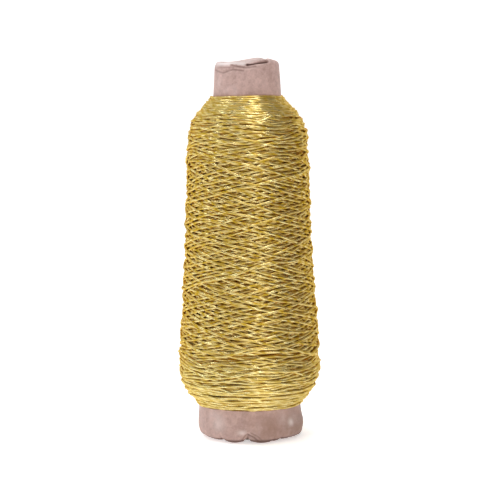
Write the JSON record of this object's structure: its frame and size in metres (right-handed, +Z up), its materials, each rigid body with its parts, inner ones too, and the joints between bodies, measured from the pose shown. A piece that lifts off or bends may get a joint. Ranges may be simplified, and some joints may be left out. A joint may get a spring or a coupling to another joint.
{
  "type": "cone of thread",
  "caption": "Rolled paper cone with turned-in ends that carries a cross-wound package of gold metallic thread and feeds it to a sewing or knitting machine.",
  "frame": {"origin": "middle of the base, on the surface that the cone stands on", "axes": "+Z up along the cone's axis towards the nose; -Y faces the viewer of the picture"},
  "size_m": [0.063, 0.0662, 0.17],
  "materials": {
    "cover_paper": "matt fibrous paper, pinkish beige",
    "board_paper": "raw grey board",
    "liner_paper": "smooth kraft liner",
    "inner_thread": "metallised thread, inner turns",
    "gold_thread": "metallised gold thread, bright"
  },
  "bodies": {
    "root": {"cover_ply": "cover_paper", "board_ply": "board_paper", "liner_ply": "liner_paper", "thread_package": "inner_thread", "outer_winding": "gold_thread"}
  },
  "joints": []
}
